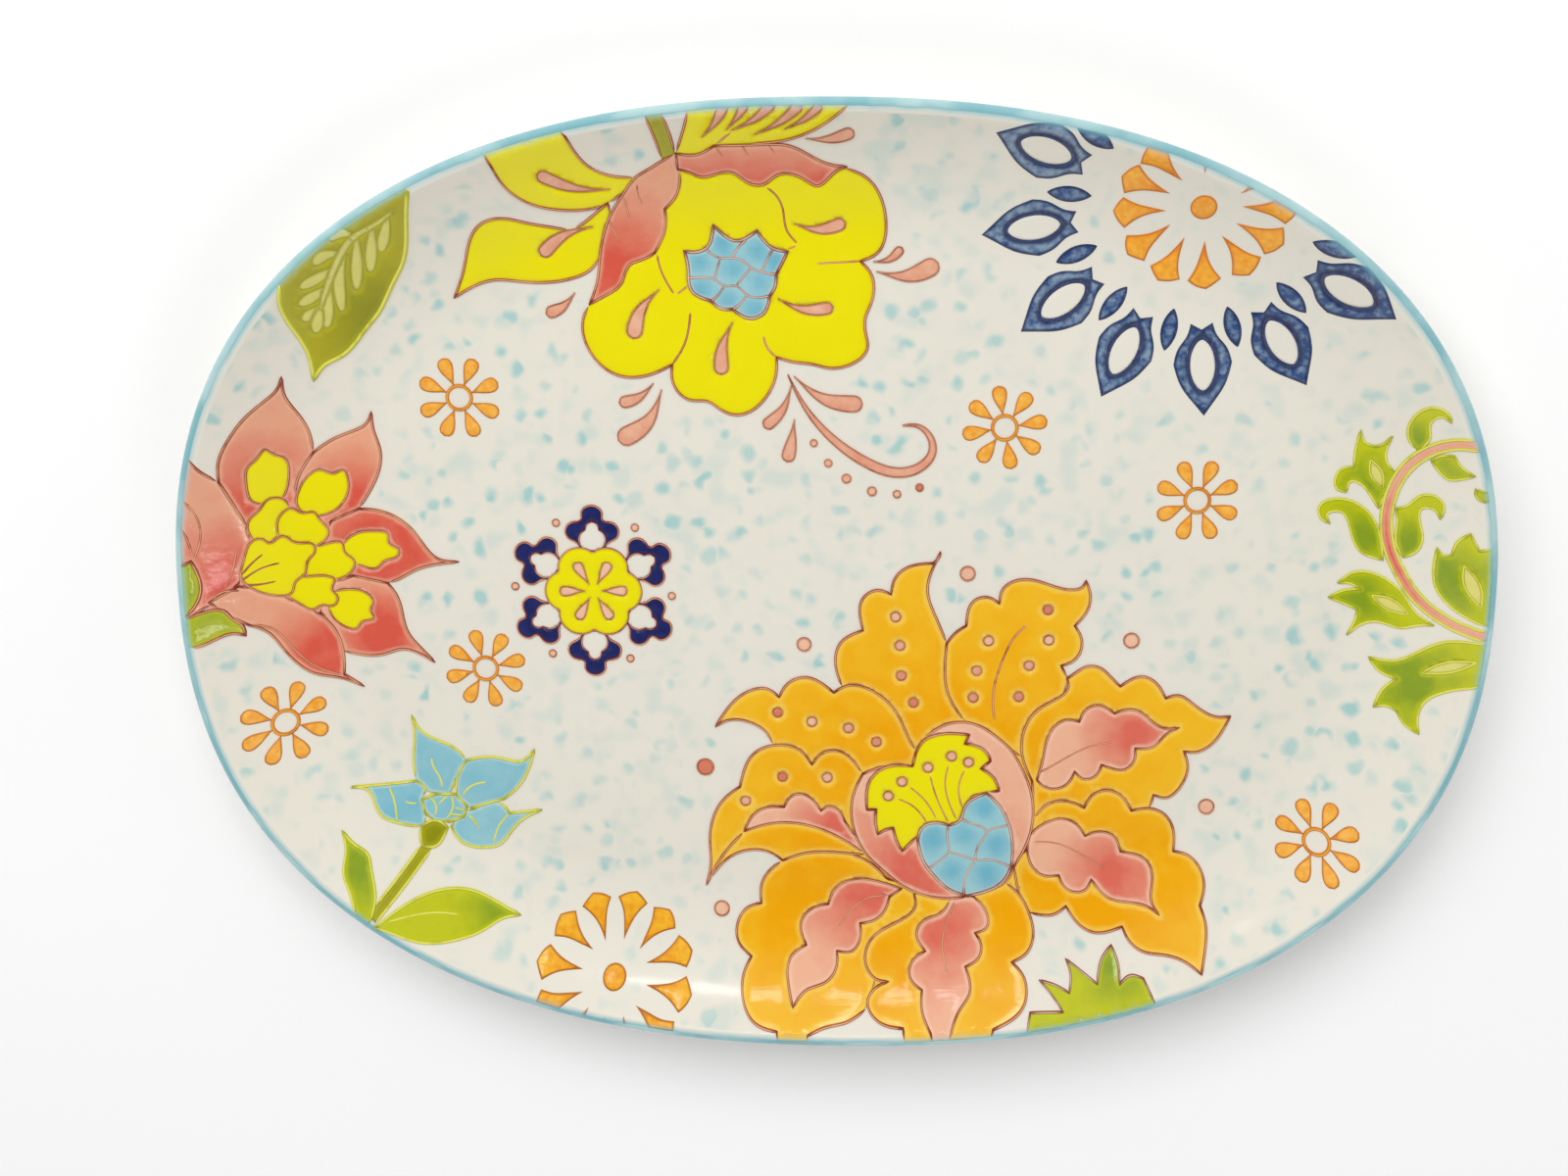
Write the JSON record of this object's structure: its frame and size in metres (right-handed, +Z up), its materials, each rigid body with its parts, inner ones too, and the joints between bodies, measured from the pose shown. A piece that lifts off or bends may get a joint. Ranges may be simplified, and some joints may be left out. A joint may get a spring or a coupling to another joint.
{
  "type": "china serving platter",
  "caption": "Oval dished china serving platter on a foot ring, with raised slip-line flowers filled with coloured glazes.",
  "frame": {"origin": "under the centre of the platter, on the plane that the foot ring stands on", "axes": "+X along the platter's length, +Y across its width towards the side drawn as the top, +Z up out of the dish"},
  "size_m": [0.4058, 0.3034, 0.0318],
  "materials": {
    "ivory_glaze": "glossy fired glaze",
    "bare_foot": "dry, bare fired clay",
    "turquoise_glaze": "glossy fired glaze",
    "lemon_glaze": "glossy fired glaze",
    "coral_glaze": "glossy fired glaze",
    "blue_glaze": "glossy fired glaze",
    "olive_glaze": "glossy fired glaze",
    "salmon_glaze": "glossy fired glaze",
    "brown_slip": "glossy fired glaze",
    "lime_glaze": "glossy fired glaze",
    "amber_glaze": "glossy fired glaze",
    "lime_slip": "glossy fired glaze",
    "navy_glaze": "glossy fired glaze",
    "slate_glaze": "glossy fired glaze"
  },
  "bodies": {
    "root": {"platter_body": "ivory_glaze", "foot_ring": "bare_foot", "rim_band": "turquoise_glaze", "yellow_bloom_petals": "lemon_glaze", "yellow_bloom_sepals": "coral_glaze", "yellow_bloom_berries": "blue_glaze", "yellow_bloom_leaves": "lemon_glaze", "yellow_bloom_stem": "olive_glaze", "yellow_bloom_drops": "salmon_glaze", "yellow_bloom_slip": "brown_slip", "spray_drops": "salmon_glaze", "spray_curl": "salmon_glaze", "spray_dots": "salmon_glaze", "coral_bloom_petals": "coral_glaze", "coral_bloom_stamens": "lemon_glaze", "coral_bloom_leaves": "lime_glaze", "coral_bloom_slip": "brown_slip", "orange_bloom_petals": "amber_glaze", "orange_bloom_inner_leaves": "coral_glaze", "orange_bloom_throat": "coral_glaze", "orange_bloom_fan": "lemon_glaze", "orange_bloom_berries": "blue_glaze", "orange_bloom_dots": "salmon_glaze", "orange_bloom_slip": "brown_slip", "green_tuft": "lime_glaze", "scattered_dots": "salmon_glaze", "blue_flower_petals": "blue_glaze", "blue_flower_calyx_stem": "olive_glaze", "blue_flower_leaves": "lime_glaze", "blue_flower_slip": "lime_slip", "star_rosette_centre": "lemon_glaze", "star_rosette_points": "navy_glaze", "navy_rosette_petals": "slate_glaze", "navy_rosette_lozenges": "navy_glaze", "navy_rosette_flares": "amber_glaze", "orange_rosette_flares": "amber_glaze", "olive_leaf": "olive_glaze", "olive_leaf_veins": "lime_slip", "vine_stem": "coral_glaze", "vine_leaves": "lime_glaze", "daisy_petals": "amber_glaze", "daisy_rings": "amber_glaze"}
  },
  "joints": []
}
